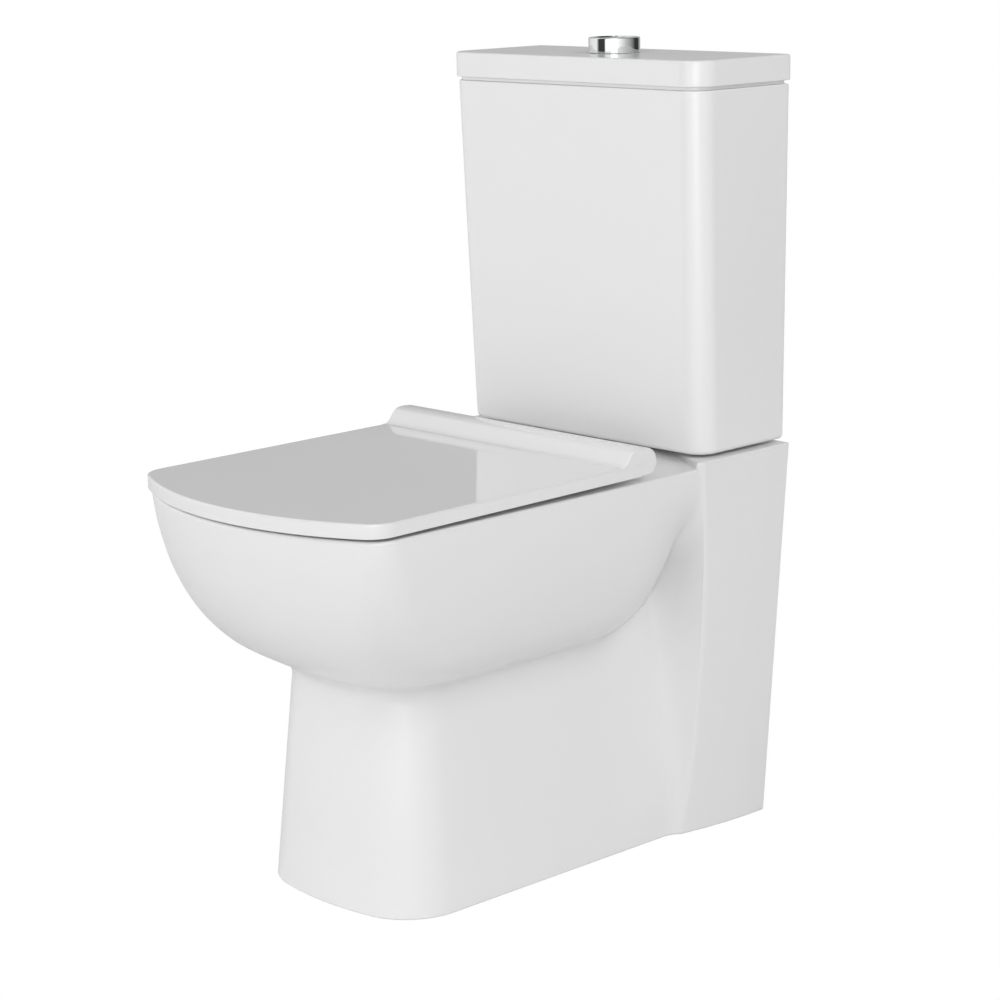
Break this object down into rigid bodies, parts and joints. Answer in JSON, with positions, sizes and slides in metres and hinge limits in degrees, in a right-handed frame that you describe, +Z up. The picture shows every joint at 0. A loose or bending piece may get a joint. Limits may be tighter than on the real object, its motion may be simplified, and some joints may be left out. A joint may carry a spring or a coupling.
{
  "type": "close coupled toilet",
  "caption": "Back-to-wall close coupled toilet: ceramic D-shaped pan and slim cistern, hinged seat and lid, dual flush button with working valve gear.",
  "frame": {"origin": "on the floor under the middle of the whole toilet, half way between its sides and between the wall and the front edge of the seat lid", "axes": "+Z up; +X towards the right seen from the front-facing viewer who looks along +Y; the pan faces -Y and the wall is the plane y = +0.310"},
  "size_m": [0.36, 0.62, 0.8325],
  "materials": {
    "glazed_ceramic": "gloss",
    "seat_thermoset": "gloss",
    "chrome_plate": "polished",
    "white_acetal": "satin",
    "grey_polypropylene": "matte",
    "black_rubber": "matte",
    "buffer_rubber": "satin",
    "stainless_steel": "brushed",
    "sponge_rubber": "matte"
  },
  "bodies": {
    "pan_and_cistern": {"cistern_body": "glazed_ceramic", "coupling_bolt_left": "stainless_steel", "coupling_bolt_right": "stainless_steel", "coupling_bolt_seal_left": "black_rubber", "coupling_bolt_seal_right": "black_rubber", "coupling_gasket": "sponge_rubber", "coupling_wingnut_left": "white_acetal", "coupling_wingnut_right": "white_acetal", "fill_valve_backnut": "white_acetal", "fill_valve_body": "white_acetal", "fill_valve_head": "grey_polypropylene", "fill_valve_washer": "black_rubber", "flush_valve_backnut": "white_acetal", "flush_valve_base": "white_acetal", "flush_valve_seal": "black_rubber", "flush_valve_tower": "grey_polypropylene", "hinge_damper_left": "grey_polypropylene", "hinge_damper_right": "grey_polypropylene", "hinge_post_left": "chrome_plate", "hinge_post_right": "chrome_plate", "pan": "glazed_ceramic", "pan_bowl": "glazed_ceramic", "pan_flush_duct": "glazed_ceramic", "pan_trapway": "glazed_ceramic", "seat_stud_left": "stainless_steel", "seat_stud_right": "stainless_steel", "seat_stud_seal_left": "black_rubber", "seat_stud_seal_right": "black_rubber", "seat_wingnut_left": "white_acetal", "seat_wingnut_right": "white_acetal"},
    "seat_lid_leaf": {"seat_lid": "seat_thermoset", "lid_buffer_left": "buffer_rubber", "lid_buffer_right": "buffer_rubber"},
    "seat_ring_leaf": {"seat_ring": "seat_thermoset", "seat_buffer_front_left": "buffer_rubber", "seat_buffer_front_right": "buffer_rubber", "seat_buffer_rear_left": "buffer_rubber", "seat_buffer_rear_right": "buffer_rubber"},
    "cistern_cover": {"cistern_lid": "glazed_ceramic", "button_collar": "chrome_plate", "button_locknut": "white_acetal", "full_button_spring": "stainless_steel", "half_button_spring": "stainless_steel"},
    "full_flush": {"full_flush_button": "chrome_plate", "full_push_rod": "stainless_steel"},
    "half_flush": {"half_flush_button": "chrome_plate", "half_push_rod": "stainless_steel"},
    "full_rocker": {"full_flush_rocker": "grey_polypropylene"},
    "half_rocker": {"half_flush_rocker": "grey_polypropylene"},
    "canister": {"overflow_canister": "white_acetal", "valve_washer": "black_rubber"},
    "float": {"fill_float": "white_acetal"},
    "float_lever": {"fill_lever": "grey_polypropylene"}
  },
  "joints": [
    {"name": "lid_hinge", "type": "hinge", "parent": "pan_and_cistern", "child": "seat_lid_leaf", "pos_m": [0, 0.096, 0.427], "axis": [-1, 0, 0], "range_deg": [0, 99]},
    {"name": "seat_hinge", "type": "hinge", "parent": "pan_and_cistern", "child": "seat_ring_leaf", "pos_m": [0, 0.096, 0.427], "axis": [-1, 0, 0], "range_deg": [0, 95.5]},
    {"name": "cistern_lid_lift", "type": "slide", "parent": "pan_and_cistern", "child": "cistern_cover", "axis": [0, 0, 1], "range_m": [0, 0.06]},
    {"name": "full_flush_press", "type": "slide", "parent": "cistern_cover", "child": "full_flush", "axis": [0, 0, -1], "range_m": [0, 0.006], "stiffness_N_per_m": 500, "springref_m": -0.003, "deforming": ["full_button_spring"]},
    {"name": "half_flush_press", "type": "slide", "parent": "cistern_cover", "child": "half_flush", "axis": [0, 0, -1], "range_m": [0, 0.006], "stiffness_N_per_m": 500, "springref_m": -0.003, "deforming": ["half_button_spring"]},
    {"name": "full_rocker_tilt", "type": "hinge", "parent": "pan_and_cistern", "child": "full_rocker", "pos_m": [-0.008, 0.238, 0.708], "axis": [0, 1, 0], "range_deg": [0, 22]},
    {"name": "half_rocker_tilt", "type": "hinge", "parent": "pan_and_cistern", "child": "half_rocker", "pos_m": [0.008, 0.238, 0.708], "axis": [0, -1, 0], "range_deg": [0, 22]},
    {"name": "canister_lift", "type": "slide", "parent": "pan_and_cistern", "child": "canister", "axis": [0, 0, 1], "range_m": [0, 0.0068]},
    {"name": "float_rise", "type": "slide", "parent": "pan_and_cistern", "child": "float", "axis": [0, 0, 1], "range_m": [0, 0.012]},
    {"name": "float_lever_tilt", "type": "hinge", "parent": "pan_and_cistern", "child": "float_lever", "pos_m": [-0.13, 0.245, 0.7265], "axis": [0, -1, 0], "range_deg": [0, 33]}
  ],
  "couplings": [
    {"joint": "seat_hinge", "follows": "lid_hinge", "ratio": 0.96},
    {"joint": "full_rocker_tilt", "follows": "full_flush_press", "rad_per_m": 63.333},
    {"joint": "canister_lift", "follows": "full_flush_press", "ratio": 1.1167},
    {"joint": "half_rocker_tilt", "follows": "half_flush_press", "rad_per_m": 63.333},
    {"joint": "float_lever_tilt", "follows": "float_rise", "rad_per_m": 46.667}
  ]
}
